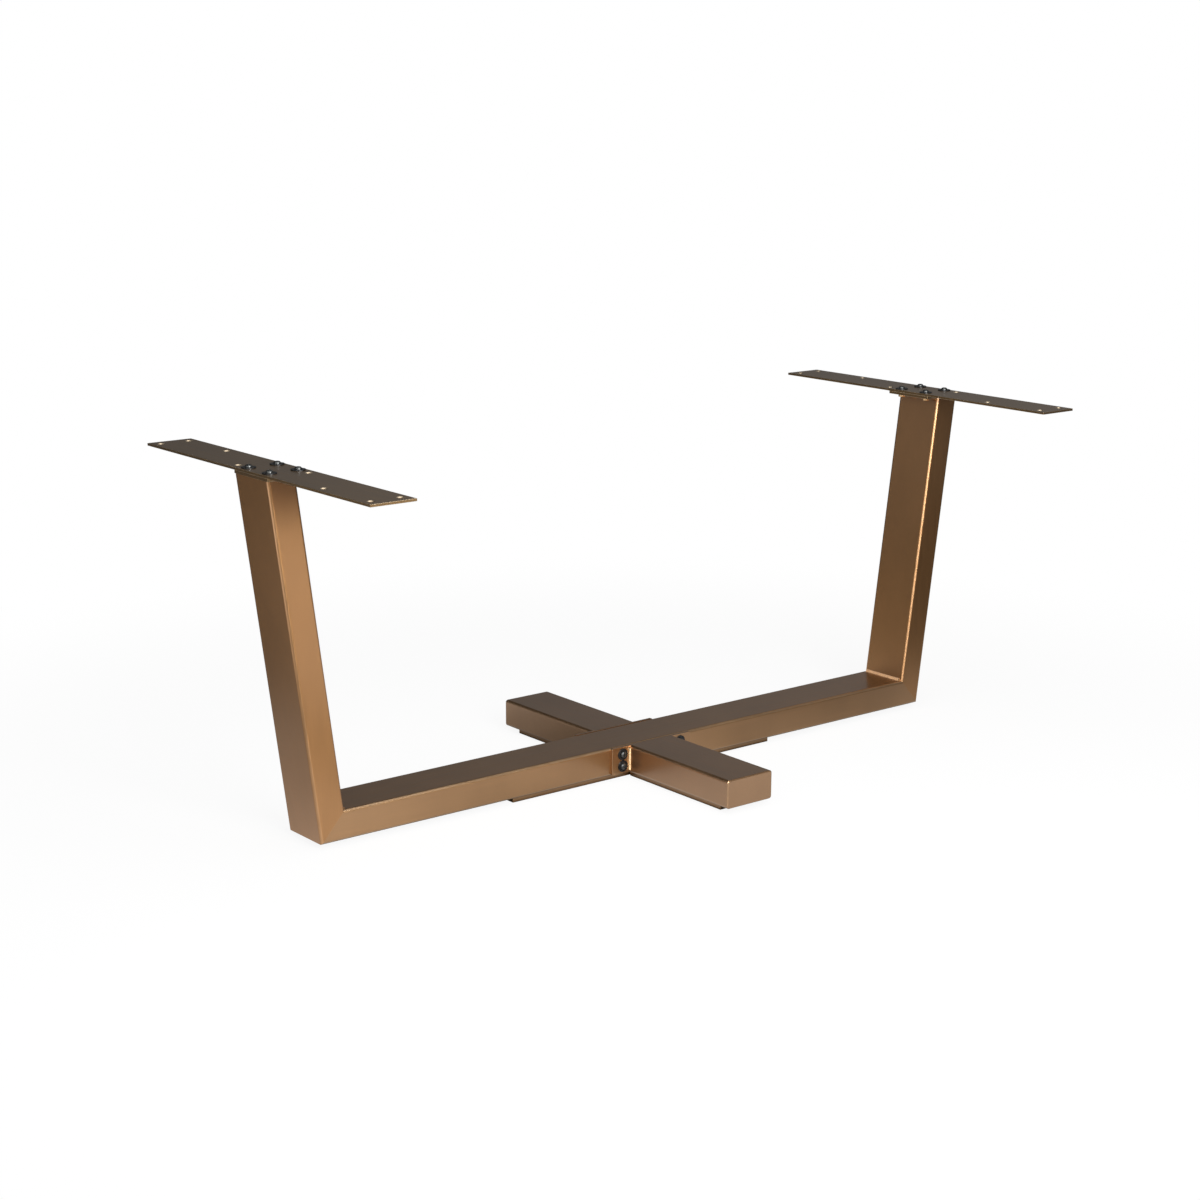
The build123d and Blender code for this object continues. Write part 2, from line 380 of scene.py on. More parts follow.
@dataclass(frozen=True)
class BronzeLacquer:
    """Bronze tinted lacquer over brushed steel."""

    name: str
    slot: str
    light: Color = (0.425, 0.232, 0.101)
    deep: Color = (0.375, 0.204, 0.089)
    # Lighter colour on corners and edges: partly worn lacquer, partly a painted highlight.
    bare: Color = (0.78, 0.6, 0.4)
    dusty: Color = (0.3, 0.25, 0.19)
    # Colour of the painted shade below a leg's cap.
    scorched: Color = (0.13, 0.05, 0.016)
    metallic: float = 1.0
    roughness: float = 0.42
    coat_weight: float = 1.0
    coat_roughness: float = 0.2
    hairline_scale: Triple = (6.0, 700.0, 700.0)
    cloud_scale: Triple = (7.0, 7.0, 2.5)
    hairline_share: float = 0.3
    hairline_height: float = 0.04 * MM
    streak_spread: float = 0.05
    edge_width: float = 1.2 * MM
    edge_wear: float = 0.15
    across: Triple = (0.0, 1.0, 0.0)
    # How far corners turn to that lighter colour: partly wear, partly painted highlight.
    corner_wear: float = 0.27
    dust_amount: float = 0.14
    dust_roughness: float = 0.25
    dust_dulling: float = 0.5
    # Strength of the painted shade below a leg's cap; 0 leaves it out.
    heat_tint: float = 0.0

    def material(self) -> bpy.types.Material:
        """Builds the material.

        Returns:
            The new material.
        """
        made, sheet = empty_material(self.name)
        brushed = sheet.add("ShaderNodeGroup", {}, node_tree=EFFECTS.brushing())
        brushed.inputs["Hairline scale"].default_value = self.hairline_scale
        brushed.inputs["Cloud scale"].default_value = self.cloud_scale
        brushed.inputs["Hairline share"].default_value = self.hairline_share
        worn = sheet.add("ShaderNodeGroup", {}, node_tree=EFFECTS.worn_edges())
        worn.inputs["Width"].default_value = self.edge_width
        turned = sheet.add("ShaderNodeGroup", {}, node_tree=EFFECTS.turned_corners())
        turned.inputs["Across"].default_value = self.across
        dust = sheet.add("ShaderNodeGroup", {}, node_tree=EFFECTS.dust())
        dust.inputs["Amount"].default_value = self.dust_amount
        tone = sheet.remap(brushed.outputs["Tone"], 0.3, 0.7, 0.0, 1.0)
        coat = sheet.blend(tone, opaque(self.deep), opaque(self.light))
        edge = sheet.math("MULTIPLY", worn.outputs["Mask"], self.edge_wear)
        corner = sheet.math("MULTIPLY", turned.outputs["Mask"], self.corner_wear)
        # Corners and edges go lighter: partly worn lacquer, partly a painted highlight.
        rubbed = sheet.blend(sheet.math("MAXIMUM", edge, corner), coat, opaque(self.bare))
        # Painted shade: darkens the top of the leg's front face below its cap.
        if self.heat_tint:
            tint = sheet.add("ShaderNodeGroup", {}, node_tree=EFFECTS.heat_tint())
            amount = sheet.math("MULTIPLY", tint.outputs["Mask"], self.heat_tint)
            rubbed = sheet.blend(amount, rubbed, opaque(self.scorched))
        color = sheet.blend(dust.outputs["Mask"], rubbed, opaque(self.dusty))
        smooth, coarse = self.roughness - self.streak_spread, self.roughness + self.streak_spread
        streak = sheet.remap(brushed.outputs["Height"], 0.25, 0.75, smooth, coarse)
        dusted = dust.outputs["Mask"]
        rough = sheet.math("ADD", streak, sheet.math("MULTIPLY", dusted, self.dust_roughness))
        dulled = sheet.math("MULTIPLY", dusted, self.dust_dulling)
        metal = sheet.math("SUBTRACT", self.metallic, dulled)
        relief = sheet.add("ShaderNodeBump", {"Height": brushed.outputs["Height"], "Strength": 0.5,
                                              "Distance": self.hairline_height})
        look = {"Base Color": color, "Metallic": metal, "Roughness": rough,
                "Coat Weight": self.coat_weight, "Coat Roughness": self.coat_roughness,
                "Normal": relief.outputs[0]}
        shader = sheet.add("ShaderNodeBsdfPrincipled", look)
        sheet.add("ShaderNodeOutputMaterial", {"Surface": shader.outputs[0]})
        return made


@dataclass(frozen=True)
class BlackenedSteel:
    """Black oxide on bolts and washers, with a faint oily sheen."""

    name: str
    slot: str
    dark: Color = (0.009, 0.010, 0.011)
    pale: Color = (0.03, 0.032, 0.034)
    rubbed: Color = (0.12, 0.12, 0.12)
    roughness: float = 0.3
    metallic: float = 0.55
    mottle_scale: float = 260.0
    mottle_height: float = 0.05 * MM
    edge_width: float = 0.5 * MM
    edge_wear: float = 0.5
    edge_breakup: float = 400.0

    def material(self) -> bpy.types.Material:
        """Builds the material.

        Returns:
            The new material.
        """
        made, sheet = empty_material(self.name)
        place = sheet.add("ShaderNodeTexCoord").outputs["Object"]
        mottle = sheet.add("ShaderNodeTexNoise", {"Vector": place, "Scale": self.mottle_scale,
                                                  "Detail": 4.0})
        tone = sheet.remap(mottle.outputs[0], 0.35, 0.7, 0.0, 1.0)
        oxide = sheet.blend(tone, opaque(self.dark), opaque(self.pale))
        worn = sheet.add("ShaderNodeGroup", {}, node_tree=EFFECTS.worn_edges())
        worn.inputs["Width"].default_value = self.edge_width
        worn.inputs["Breakup"].default_value = self.edge_breakup
        edge = sheet.math("MULTIPLY", worn.outputs["Mask"], self.edge_wear)
        color = sheet.blend(edge, oxide, opaque(self.rubbed))
        smooth, coarse = self.roughness - 0.06, self.roughness + 0.08
        rough = sheet.remap(mottle.outputs[0], 0.3, 0.7, smooth, coarse)
        relief = sheet.add("ShaderNodeBump", {"Height": mottle.outputs[0], "Strength": 0.3,
                                              "Distance": self.mottle_height})
        look = {"Base Color": color, "Metallic": self.metallic, "Roughness": rough,
                "Normal": relief.outputs[0]}
        shader = sheet.add("ShaderNodeBsdfPrincipled", look)
        sheet.add("ShaderNodeOutputMaterial", {"Surface": shader.outputs[0]})
        return made


@dataclass(frozen=True)
class ZincPlate:
    """Zinc plating with soft spangle, on the nuts inside the rail."""

    name: str
    slot: str
    pale: Color = (0.60, 0.58, 0.54)
    yellow: Color = (0.52, 0.47, 0.34)
    roughness: float = 0.34
    spangle_scale: float = 700.0

    def material(self) -> bpy.types.Material:
        """Builds the material.

        Returns:
            The new material.
        """
        made, sheet = empty_material(self.name)
        place = sheet.add("ShaderNodeTexCoord").outputs["Object"]
        spangle = sheet.add("ShaderNodeTexVoronoi", {"Vector": place, "Scale": self.spangle_scale})
        from_centre = spangle.outputs["Distance"]
        tone = sheet.remap(from_centre, 0.0, 0.8, 0.0, 1.0)
        color = sheet.blend(tone, opaque(self.pale), opaque(self.yellow))
        rough = sheet.remap(from_centre, 0.0, 0.8, self.roughness, self.roughness + 0.12)
        look = {"Base Color": color, "Metallic": 1.0, "Roughness": rough}
        shader = sheet.add("ShaderNodeBsdfPrincipled", look)
        sheet.add("ShaderNodeOutputMaterial", {"Surface": shader.outputs[0]})
        return made


Finish = BronzeLacquer | BlackenedSteel | ZincPlate


class Finishes:
    """The finishes of the underframe, each material made when it is first used."""

    def __init__(self) -> None:
        """Names every finish."""
        self.rail = BronzeLacquer(
            "rail lacquer", "frame_bronze",
            light=(0.445, 0.242, 0.102), deep=(0.393, 0.213, 0.09),
        )
        self.leg = BronzeLacquer(
            "leg lacquer", "frame_bronze",
            # Gold-white leg corners: partly worn lacquer, partly a painted highlight.
            light=(0.475, 0.238, 0.09), deep=(0.405, 0.203, 0.076), bare=(0.86, 0.53, 0.3),
            coat_weight=0.65, hairline_scale=(700.0, 700.0, 6.0), cloud_scale=(7.0, 7.0, 3.0),
            corner_wear=0.25,
        )
        # The left leg's lacquer, with a painted shade below its cap.
        self.tinted_leg = replace(self.leg, name="leg lacquer with painted shade", heat_tint=0.6)
        self.arm = BronzeLacquer(
            "arm lacquer", "frame_bronze",
            light=(0.43, 0.242, 0.118), deep=(0.37, 0.208, 0.101),
            hairline_scale=(700.0, 6.0, 700.0), across=(1.0, 0.0, 0.0), corner_wear=0.12,
        )
        self.flange = BronzeLacquer(
            "flange lacquer", "frame_bronze",
            hairline_scale=(6.0, 700.0, 700.0), across=(1.0, 0.0, 0.0), corner_wear=0.3,
            edge_wear=0.6,
        )
        self.plate = BronzeLacquer(
            "plate lacquer", "plate_bronze",
            # Near white hole chamfers and edges: partly worn lacquer, partly a painted glint.
            light=(0.33, 0.2, 0.085), deep=(0.29, 0.175, 0.075), bare=(0.9, 0.74, 0.52),
            hairline_scale=(700.0, 5.0, 700.0), cloud_scale=(12.0, 5.0, 12.0),
            across=(0.0, 0.0, 1.0), corner_wear=1.0,
        )
        self.strip = BronzeLacquer("strip lacquer", "strip_bronze", across=(0.0, 0.0, 1.0))
        # A lighter copy of the bronze lacquer: a painted highlight on the flange beads and strip
        # stitches.
        self.weld = BronzeLacquer(
            "weld lacquer", "weld_bronze",
            light=(0.76, 0.6, 0.37), deep=(0.6, 0.42, 0.22), roughness=0.34,
            hairline_share=0.1, cloud_scale=(120.0, 120.0, 120.0), edge_wear=0.0,
            corner_wear=0.0,
        )
        # A lighter copy of the bronze lacquer with lighter corners: painted glints on the weld
        # nuts.
        self.nut = BronzeLacquer(
            "nut lacquer", "plate_bronze",
            light=(0.62, 0.39, 0.18), deep=(0.5, 0.29, 0.13), roughness=0.34,
            across=(0.0, 0.0, 1.0), corner_wear=0.6,
        )
        self.seam = BronzeLacquer(
            "seam lacquer", "weld_bronze",
            hairline_share=0.1, cloud_scale=(120.0, 120.0, 120.0), edge_wear=0.0,
            corner_wear=0.0,
        )
        self.washer = BlackenedSteel(
            "washer oxide", "black_steel",
            dark=(0.014, 0.015, 0.016), pale=(0.04, 0.041, 0.043), metallic=0.7,
        )
        self.bolt = BlackenedSteel(
            "bolt oxide", "black_steel",
            dark=(0.075, 0.078, 0.078), pale=(0.14, 0.144, 0.14), rubbed=(0.3, 0.3, 0.3),
            roughness=0.33, metallic=0.95,
        )
        self.zinc = ZincPlate("zinc plate", "zinc_steel")
        self.made: dict[str, bpy.types.Material] = {}

    def material(self, finish: Finish) -> bpy.types.Material:
        """The finish's material.

        Args:
            finish: The finish wanted.

        Returns:
            Its material, built on first use.
        """
        if finish.name not in self.made:
            self.made[finish.name] = finish.material()
        return self.made[finish.name]

    def dress_node(self, node: str, finish: Finish) -> None:
        """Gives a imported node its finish.

        Args:
            node: The node's name.
            finish: The finish it takes.
        """
        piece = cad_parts[node]
        for slot in piece.material_slots:
            slot.material = self.material(finish)
        log.info("%s: %s", node, finish.name)

    def dress_piece(self, piece: bpy.types.Object, finish: Finish) -> None:
        """Gives a new piece its finish.

        Args:
            piece: The new object.
            finish: The finish it takes.
        """
        piece.data.materials.append(self.material(finish))
        log.info("%s: %s", piece.name, finish.name)


@dataclass(frozen=True)
class RippleBead:
    """A weld bead in an inside corner, with the ripples that the weld pool leaves."""

    start: Vector
    end: Vector
    toward_a: Vector
    toward_b: Vector
    leg: float
    pitch: float = 1.9 * MM
    crown: float = 0.2
    bulge: float = 0.45
    dip: float = 0.86
    end_size: float = 0.62
    points: int = 7

    def profile(self, bm: bmesh.types.BMesh, along: Vector) -> bmesh.types.BMFace:
        """Draws the bead's first section.

        Args:
            bm: The mesh to draw in.
            along: Unit vector along the bead.

        Returns:
            The section's face.
        """
        outward = (self.toward_a + self.toward_b).normalized()
        verts = [bm.verts.new(self.start)]
        for step in range(self.points):
            share = step / (self.points - 1)
            flat = self.toward_a * (1 - share) + self.toward_b * share
            swell = sin(pi * share)
            spot = self.start + flat * self.leg + outward * self.crown * self.leg * swell
            verts.append(bm.verts.new(spot + along * self.pitch * self.bulge * swell))
        return bm.faces.new(verts)

    def add_to(self, bm: bmesh.types.BMesh) -> None:
        """Extrudes the section ripple by ripple.

        Args:
            bm: The mesh that gets the bead.
        """
        run = self.end - self.start
        count = max(4, 2 * round(run.length / self.pitch))
        along = run.normalized()
        usable = run.length - self.pitch * self.bulge
        step = along * (usable / count)
        face = self.profile(bm, along)
        size = 1.0
        for station in range(count + 1):
            if station in (0, count):
                wanted = self.end_size
            else:
                wanted = 1.0 if station % 2 else self.dip
            from_here = Matrix.Translation(-(self.start + step * station))
            bmesh.ops.scale(bm, vec=(wanted / size,) * 3, space=from_here, verts=list(face.verts))
            size = wanted
            if station == count:
                break
            grown = bmesh.ops.extrude_face_region(bm, geom=[face], use_keep_orig=station == 0)
            moved = [item for item in grown["geom"] if isinstance(item, bmesh.types.BMVert)]
            face = next(item for item in grown["geom"] if isinstance(item, bmesh.types.BMFace))
            bmesh.ops.translate(bm, vec=step, verts=moved)


def bead_piece(name: str, beads: list[RippleBead], *replaced: str) -> bpy.types.Object:
    """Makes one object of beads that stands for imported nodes.

    Args:
        name: The new piece's name.
        beads: The beads in it.
        replaced: The nodes it stands for.

    Returns:
        The new object.
    """
    bm = bmesh.new()
    for bead in beads:
        bead.add_to(bm)
    bmesh.ops.recalc_face_normals(bm, faces=bm.faces[:])
    for face in bm.faces:
        face.smooth = True
    piece = mesh_object(name, bm)
    piece.data.set_sharp_from_angle(angle=radians(50))
    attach(piece, "root")
    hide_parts(*replaced)
    return piece


@dataclass
class TubeFrame:
    """The rail and its two flared legs, joined at mitred corners."""

    finishes: Finishes
    half_length: float = 810 * MM
    tube_thick: float = 60 * MM
    half_flat: float = 54 * MM
    rail_high: float = 72 * MM
    flare: float = radians(7.5)
    weld_leg: float = 5 * MM

    def corner_bead(self, side: Side) -> RippleBead:
        """Bead across the inside corner of one leg.

        Args:
            side: The end of the rail.

        Returns:
            The bead.
        """
        lean = self.tube_thick * tan(self.flare)
        inner = self.half_length - self.tube_thick / cos(self.flare) + lean
        spot = Vector((side.sign * inner, 0, self.rail_high))
        on_rail = Vector((-side.sign, 0, 0))
        on_leg = Vector((side.sign * sin(self.flare), 0, cos(self.flare)))
        reach = Vector((0, self.half_flat, 0))
        return RippleBead(spot - reach, spot + reach, on_rail, on_leg, self.weld_leg)

    def build(self) -> None:
        """Dresses the tubes and lays the corner beads."""
        self.finishes.dress_node("rail_tube", self.finishes.rail)
        for side in (Side.LEFT, Side.RIGHT):
            label = side.label
            # The left leg takes the lacquer with the painted shade.
            leg = self.finishes.tinted_leg if side is Side.LEFT else self.finishes.leg
            self.finishes.dress_node(f"{label}_leg_tube", leg)
            bead = bead_piece(f"{label}_corner_bead", [self.corner_bead(side)],
                              f"{label}_corner_weld")
            self.finishes.dress_piece(bead, self.finishes.seam)


@dataclass
class LegTop:
    """Cap, screw plate, nuts, washers and bolts on one leg."""

    finishes: Finishes
    side: Side
    half_flat: float = 54 * MM
    weld_leg: float = 5 * MM

    def cap_bead(self) -> RippleBead:
        """Bead under the cap along the leg's inner face.

        Returns:
            The bead.
        """
        low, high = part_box(f"{self.side.label}_cap_weld")
        flare = TubeFrame.flare
        inner = high[0] - self.weld_leg if self.side is Side.LEFT else low[0] + self.weld_leg
        spot = Vector((inner, 0, high[2]))
        on_cap = Vector((-self.side.sign, 0, 0))
        on_leg = Vector((-self.side.sign * sin(flare), 0, -cos(flare)))
        reach = Vector((0, self.half_flat, 0))
        return RippleBead(spot - reach, spot + reach, on_cap, on_leg, self.weld_leg)

    def build(self) -> None:
        """Dresses the plates and fasteners and lays the bead."""
        label = self.side.label
        for node in ("cap_plate", "mounting_plate"):
            self.finishes.dress_node(f"{label}_{node}", self.finishes.plate)
        # The weld nuts take the lighter lacquer, a painted glint.
        self.finishes.dress_node(f"{label}_weld_nuts", self.finishes.nut)
        self.finishes.dress_node(f"{label}_plate_washers", self.finishes.washer)
        self.finishes.dress_node(f"{label}_plate_bolts", self.finishes.bolt)
        bead = bead_piece(f"{label}_cap_bead", [self.cap_bead()], f"{label}_cap_weld")
        self.finishes.dress_piece(bead, self.finishes.seam)


@dataclass
class FloorStrip:
    """Strip that the underframe stands on, held by short stitch welds below the tube."""

    finishes: Finishes
    node: str
    along_x: bool
    centres: list[float]
    half_wide: float = 47.5 * MM
    thick: float = 12 * MM
    weld_leg: float = 3 * MM
    stitch: float = 30 * MM

    def beads(self) -> list[RippleBead]:
        """Stitches on both edges of the strip.

        Returns:
            The beads.
        """
        found = []
        run = Vector((1, 0, 0)) if self.along_x else Vector((0, 1, 0))
        across = Vector((0, 1, 0)) if self.along_x else Vector((1, 0, 0))
        for centre in self.centres:
            for sign in (-1, 1):
                outward = across * sign
                spot = run * centre + outward * self.half_wide + Vector((0, 0, self.thick))
                reach = run * self.stitch / 2
                down = Vector((0, 0, -1))
                found.append(RippleBead(spot - reach, spot + reach, outward, down, self.weld_leg))
        return found

    def build(self) -> None:
        """Dresses the strip and lays its stitches."""
        self.finishes.dress_node(self.node, self.finishes.strip)
        bead = bead_piece(f"{self.node}_stitches", self.beads(), f"{self.node}_welds")
        # The stitches take the lighter lacquer, a painted highlight.
        self.finishes.dress_piece(bead, self.finishes.weld)


@dataclass
class CrossArm:
    """One cross arm with its flange, end cap, strip and bolts."""

    finishes: Finishes
    side: Side
    half_tube: float = 60 * MM
    flange_far: float = 66 * MM
    bead_low: float = 18 * MM
    bead_high: float = 68 * MM
    weld_leg: float = 4 * MM
    stitch_inset: float = 50 * MM
    strip_near: float = 52.5 * MM
    strip_far: float = 340 * MM
    stitch_count: int = 2

    def flange_beads(self) -> list[RippleBead]:
        """Upright beads between the arm's sides and its flange.

        Returns:
            The beads.
        """
        found = []
        for sign in (-1, 1):
            spot = Vector((sign * self.half_tube, self.side.sign * self.flange_far, 0))
            low = spot + Vector((0, 0, self.bead_low))
            high = spot + Vector((0, 0, self.bead_high))
            on_flange = Vector((sign, 0, 0))
            on_arm = Vector((0, self.side.sign, 0))
            found.append(RippleBead(low, high, on_flange, on_arm, self.weld_leg))
        return found

    def stitch_centres(self) -> list[float]:
        """Middles of the stitches along the arm's strip.

        Returns:
            Places along Y.
        """
        first = self.strip_near + self.stitch_inset
        last = self.strip_far - self.stitch_inset
        gap = (last - first) / (self.stitch_count - 1)
        return [self.side.sign * (first + gap * step) for step in range(self.stitch_count)]

    def build(self) -> None:
        """Dresses the arm's nodes and lays its beads."""
        label = self.side.label
        for node in ("arm_tube", "arm_end_cap"):
            self.finishes.dress_node(f"{label}_{node}", self.finishes.arm)
        self.finishes.dress_node(f"{label}_arm_flange", self.finishes.flange)
        self.finishes.dress_node(f"{label}_arm_washers", self.finishes.washer)
        self.finishes.dress_node(f"{label}_arm_bolts", self.finishes.bolt)
        self.finishes.dress_node(f"{label}_rivet_nuts", self.finishes.zinc)
        bead = bead_piece(f"{label}_flange_beads", self.flange_beads(), f"{label}_flange_welds")
        # The flange beads take the lighter lacquer, a painted highlight.
        self.finishes.dress_piece(bead, self.finishes.weld)
        FloorStrip(self.finishes, f"{label}_arm_strip", False, self.stitch_centres()).build()


@dataclass(frozen=True)
class Pool:
    """Soft oval of light on the floor, as the metal reflects it."""

    centre: tuple[float, float]
    reach: tuple[float, float]
    strength: float

    def shine(self, sheet: NodeSheet, place: bpy.types.NodeSocket) -> bpy.types.NodeSocket:
        """Brightness that the oval adds at a place on the floor.

        Args:
            sheet: The sheet that the nodes go into.
            place: The place on the floor.

        Returns:
            The brightness socket.
        """
        scale = (1 / self.reach[0], 1 / self.reach[1], 0.0)
        shift = (-self.centre[0] * scale[0], -self.centre[1] * scale[1], 0.0)
        local = sheet.add("ShaderNodeMapping", {"Vector": place, "Location": shift, "Scale": scale})
        away = sheet.add("ShaderNodeVectorMath", {0: local.outputs[0]}, operation="LENGTH")
        return sheet.remap(away.outputs["Value"], 0.0, 1.0, self.strength, 0.0)


@dataclass(frozen=True)
class Glow:
    """Soft round light in the studio's depth, as the metal reflects it."""

    azimuth: float
    elevation: float
    width: float
    strength: float

    def shine(self, sheet: NodeSheet, heading: bpy.types.NodeSocket) -> bpy.types.NodeSocket:
        """Brightness that the light adds in a direction.

        Args:
            sheet: The sheet that the nodes go into.
            heading: The direction.

        Returns:
            The brightness socket.
        """
        turn, rise = radians(self.azimuth), radians(self.elevation)
        toward = (sin(turn) * cos(rise), cos(turn) * cos(rise), sin(rise))
        near = sheet.add("ShaderNodeVectorMath", {0: heading, 1: toward}, operation="DOT_PRODUCT")
        away = sheet.math("ARCCOSINE", near.outputs["Value"])
        return sheet.remap(away, 0.0, radians(self.width), self.strength, 0.0)


@dataclass(frozen=True)
class Softbox:
    """Rectangular soft lamp that the camera doesn't see."""

    name: str
    place: Triple
    size: tuple[float, float]
    radiance: float
    target: Triple = (0.0, 0.0, 0.35)

    def build(self) -> None:
        """Adds the lamp, with the power that gives its face the wanted radiance."""
        data = bpy.data.lights.new(self.name, "AREA")
        data.shape = "RECTANGLE"
        data.size, data.size_y = self.size
        data.energy = self.radiance * pi * self.size[0] * self.size[1]
        lamp = bpy.data.objects.new(self.name, data)
        bpy.context.scene.collection.objects.link(lamp)
        lamp.location = self.place
        aim = Vector(self.target) - Vector(self.place)
        lamp.rotation_euler = aim.to_track_quat("-Z", "Y").to_euler()
        lamp.visible_camera = False
        log.info("%s is hung", self.name)


@dataclass
class Studio:
    """Pale floor, soft light and the photograph's camera."""

    camera_place: Triple = (-2.95226, -3.59643, 1.46684)
    camera_yaw: float = 38.532
    camera_pitch: float = -13.345
    camera_roll: float = 0.203
    lens: float = 68.243
    floor_size: float = 60.0
    floor_white: float = 0.82
    fiber_gray: float = 0.7
    fiber_share: float = 0.04
    paper_seen: float = 0.9
    shade_reach: tuple[float, float] = (0.9, 2.2)
    floor_dim: float = 0.083
    pools: tuple[Pool, ...] = (
        Pool((1.155, 0.597), (2.015, 1.259), 0.918),
        Pool((0.163, -1.159), (0.858, 1.036), 1.649),
        Pool((-2.765, 0.387), (1.671, 1.623), 2.271),
        Pool((-0.139, -0.230), (0.944, 0.458), 0.647),
        Pool((-0.892, -0.123), (0.608, 1.513), 0.627),
        Pool((0.45, -2.35), (0.8, 0.8), 2.2),
        Pool((-0.66, -0.32), (0.42, 0.42), 0.24),
        Pool((-1.0, 0.2), (0.35, 0.35), -0.15),
        Pool((1.0, -0.22), (0.4, 0.35), 0.13),
        Pool((0.3, -0.17), (0.15, 0.2), -0.13),
        Pool((3.7, -2.6), (1.5, 1.2), 0.35),
        Pool((-0.35, 0.75), (0.5, 0.4), 0.65),
        Pool((-0.15, 0.25), (0.25, 0.15), -0.1),
    )
    half_tube: float = 60 * MM
    half_length: float = 810 * MM
    arm_reach: float = 375 * MM
    shadow_from: float = -14 * MM
    shadow_to: float = 8 * MM
    horizon: float = 0.057
    middle: float = 0.222
    middle_high: float = 0.35
    zenith: float = 0.054
    glows: tuple[Glow, ...] = (
        Glow(-90.0, 32.0, 26.5, 2.6),
        Glow(-5.0, 46.7, 57.6, -0.366),
        Glow(-47.0, 5.0, 13.0, 0.7),
    )
    softboxes: tuple[Softbox, ...] = (
        Softbox("near front softbox", (-1.014, -2.743, 1.326), (1.753, 1.528), 6.61),
        Softbox("far front softbox", (-0.856, -3.172, 1.666), (1.637, 2.12), 7.79),
        Softbox("left softbox", (-3.243, -2.137, 0.932), (2.143, 1.091), 4.01),
        Softbox("overhead softbox", (-0.244, -0.737, 3.021), (3.016, 2.272), 1.57),
    )
    ambient: float = 0.35

    def contact(self, sheet: NodeSheet, place: bpy.types.NodeSocket) -> bpy.types.NodeSocket:
        """Share of the floor's light that is left under the tubes, as the metal reflects it.

        Args:
            sheet: The sheet that the nodes go into.
            place: The place on the floor.

        Returns:
            The share socket, 0 well under the tubes and 1 outside their outline.
        """
        parts = sheet.add("ShaderNodeSeparateXYZ", {0: place}).outputs
        along = sheet.math("ABSOLUTE", parts["X"])
        across = sheet.math("ABSOLUTE", parts["Y"])
        rail = sheet.math("MAXIMUM", sheet.math("SUBTRACT", across, self.half_tube),
                          sheet.math("SUBTRACT", along, self.half_length))
        arms = sheet.math("MAXIMUM", sheet.math("SUBTRACT", along, self.half_tube),
                          sheet.math("SUBTRACT", across, self.arm_reach))
        outline = sheet.math("MINIMUM", rail, arms)
        return sheet.remap(outline, self.shadow_from, self.shadow_to, 0.0, 1.0)

    def floor(self) -> None:
        """Wide paper floor, white to the camera, with pools of light that the metal reflects."""
        bm = bmesh.new()
        bmesh.ops.create_grid(bm, x_segments=1, y_segments=1, size=self.floor_size / 2)
        piece = mesh_object("studio_floor", bm)
        piece.data.materials.append(self.floor_material())

    def floor_material(self) -> bpy.types.Material:
        """Builds the paper's material.

        Returns:
            The new material.
        """
        made, sheet = empty_material("studio paper")
        rays = sheet.add("ShaderNodeLightPath").outputs
        seen = rays[Ray.CAMERA.value]
        mirrored = sheet.math("MAXIMUM", rays[Ray.GLOSSY.value], rays[Ray.TRANSMISSION.value])
        place = sheet.add("ShaderNodeTexCoord").outputs["Object"]
        lit: object = self.floor_dim
        for pool in self.pools:
            lit = sheet.math("ADD", lit, pool.shine(sheet, place))
        lit = sheet.math("MULTIPLY", sheet.math("MAXIMUM", lit, 0.0), self.contact(sheet, place))
        away = sheet.add("ShaderNodeVectorMath", {0: place}, operation="LENGTH").outputs["Value"]
        paper_seen = sheet.remap(away, *self.shade_reach, self.paper_seen, 1.0)
        shine = sheet.math("ADD", seen, sheet.math("MULTIPLY", mirrored, lit))
        share = sheet.math("ADD", sheet.math("MULTIPLY", seen, paper_seen), mirrored)
        white = opaque((self.floor_white,) * 3)
        gray = opaque((self.fiber_gray,) * 3)
        fiber = sheet.add("ShaderNodeTexNoise", {"Vector": place, "Scale": 400.0, "Detail": 3.0})
        paper = sheet.blend(sheet.math("MULTIPLY", fiber.outputs[0], self.fiber_share), white, gray)
        matte = sheet.add("ShaderNodeBsdfDiffuse", {"Color": paper})
        glow = sheet.add("ShaderNodeEmission", {"Color": opaque(PURE_WHITE), "Strength": shine})
        mixed = sheet.add("ShaderNodeMixShader", {0: share, 1: matte.outputs[0],
                                                  2: glow.outputs[0]})
        sheet.add("ShaderNodeOutputMaterial", {"Surface": mixed.outputs[0]})
        return made

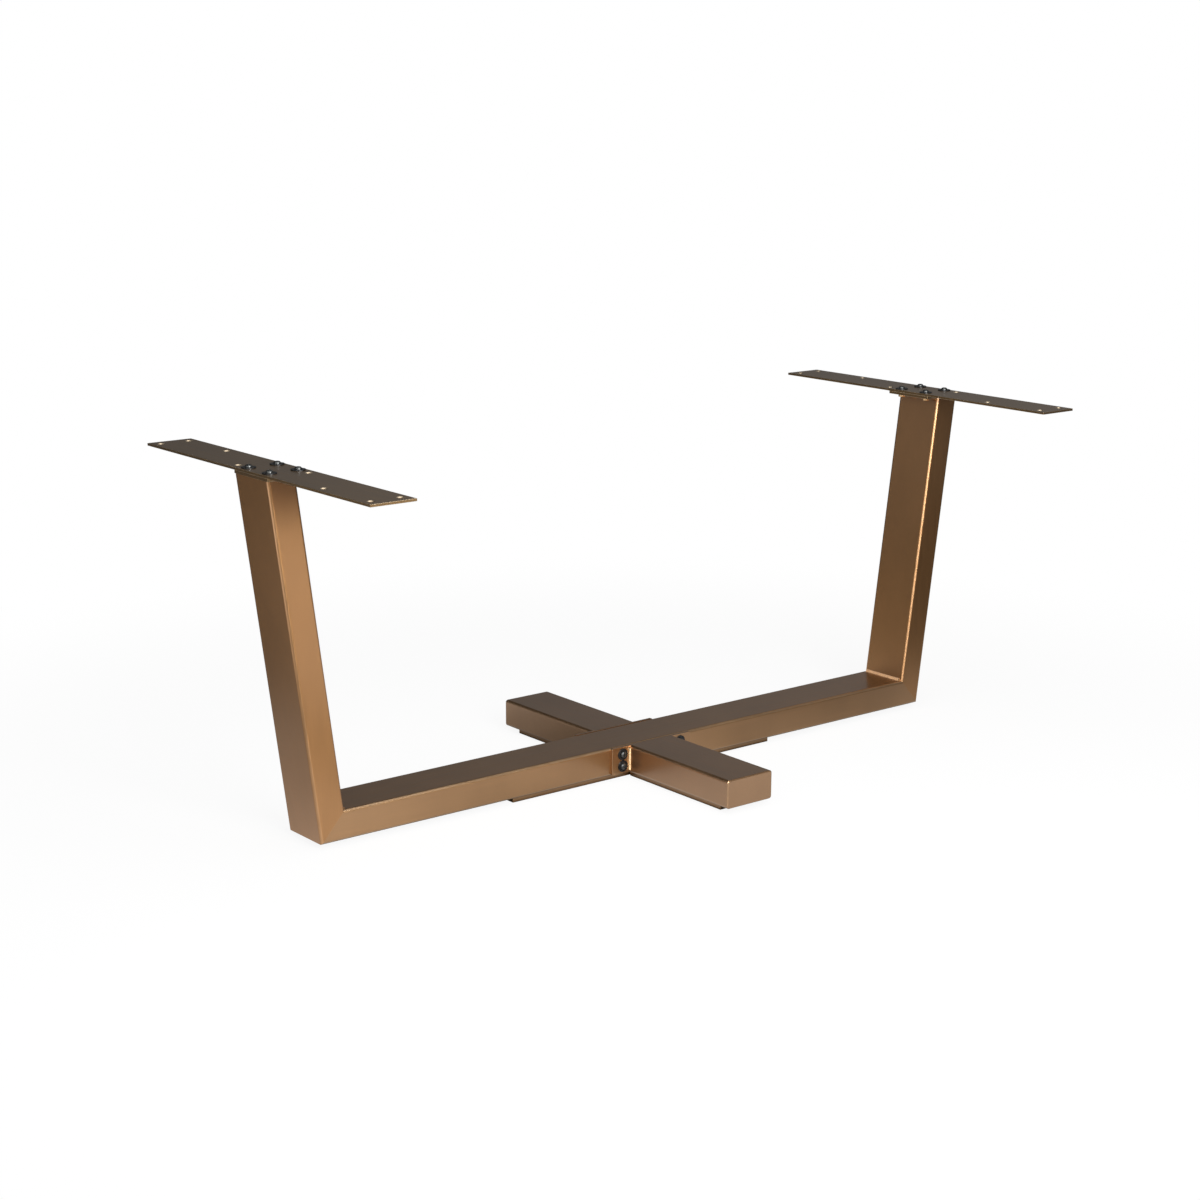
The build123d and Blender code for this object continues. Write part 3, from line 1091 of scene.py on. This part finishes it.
    def world(self) -> None:
        """White behind the object, and a dimmer studio above the horizon for reflections."""
        made = bpy.data.worlds.new("studio world")
        bpy.context.scene.world = made
        made.use_nodes = True
        made.node_tree.nodes.clear()
        sheet = NodeSheet(made.node_tree)
        rays = sheet.add("ShaderNodeLightPath").outputs
        seen = rays[Ray.CAMERA.value]
        mirrored = sheet.math("MAXIMUM", rays[Ray.GLOSSY.value], rays[Ray.TRANSMISSION.value])
        heading = sheet.add("ShaderNodeTexCoord").outputs["Generated"]
        height = sheet.add("ShaderNodeSeparateXYZ", {0: heading}).outputs["Z"]
        low = sheet.remap(height, 0.0, self.middle_high, self.horizon, self.middle)
        high = sheet.remap(height, self.middle_high, 1.0, 0.0, self.zenith - self.middle)
        sky_light = sheet.math("ADD", low, high)
        for glow in self.glows:
            sky_light = sheet.math("ADD", sky_light, glow.shine(sheet, heading))
        sky_light = sheet.math("MAXIMUM", sky_light, 0.0)
        others = sheet.math("SUBTRACT", 1.0, sheet.math("MAXIMUM", seen, mirrored))
        total = sheet.math("ADD", seen, sheet.math("MULTIPLY", mirrored, sky_light))
        strength = sheet.math("ADD", total, sheet.math("MULTIPLY", others, self.ambient))
        sky = sheet.add("ShaderNodeBackground", {"Color": opaque(PURE_WHITE), "Strength": strength})
        sheet.add("ShaderNodeOutputWorld", {"Surface": sky.outputs[0]})

    def camera(self) -> None:
        """Sets the camera where the photograph was taken."""
        data = bpy.data.cameras.new("photograph camera")
        data.lens = self.lens
        data.sensor_width = 36.0
        data.clip_end = 200.0
        piece = bpy.data.objects.new("photograph camera", data)
        bpy.context.scene.collection.objects.link(piece)
        turn = Matrix.Rotation(radians(-self.camera_yaw), 4, "Z")
        tilt = Matrix.Rotation(radians(90 + self.camera_pitch), 4, "X")
        roll = Matrix.Rotation(radians(self.camera_roll), 4, "Z")
        piece.matrix_world = Matrix.Translation(self.camera_place) @ turn @ tilt @ roll
        bpy.context.scene.camera = piece

    def build(self) -> None:
        """Sets up the whole studio."""
        bpy.context.scene.view_settings.view_transform = "Standard"
        self.camera()
        self.floor()
        self.world()
        for softbox in self.softboxes:
            softbox.build()
        log.info("studio is set")


def main() -> None:
    """Builds every sub-assembly in order and sets up the studio."""
    logging.basicConfig(level=logging.INFO, format="%(name)s: %(message)s")
    finishes = Finishes()
    TubeFrame(finishes).build()
    for side in (Side.LEFT, Side.RIGHT):
        LegTop(finishes, side).build()
    for side in (Side.FRONT, Side.BACK):
        CrossArm(finishes, side).build()
    rail_stitches = [step * RAIL_STITCH_GAP for step in (-2, -1, 0, 1, 2)]
    FloorStrip(finishes, "rail_strip", True, rail_stitches).build()
    Studio().build()


if __name__ == "__main__":
    main()
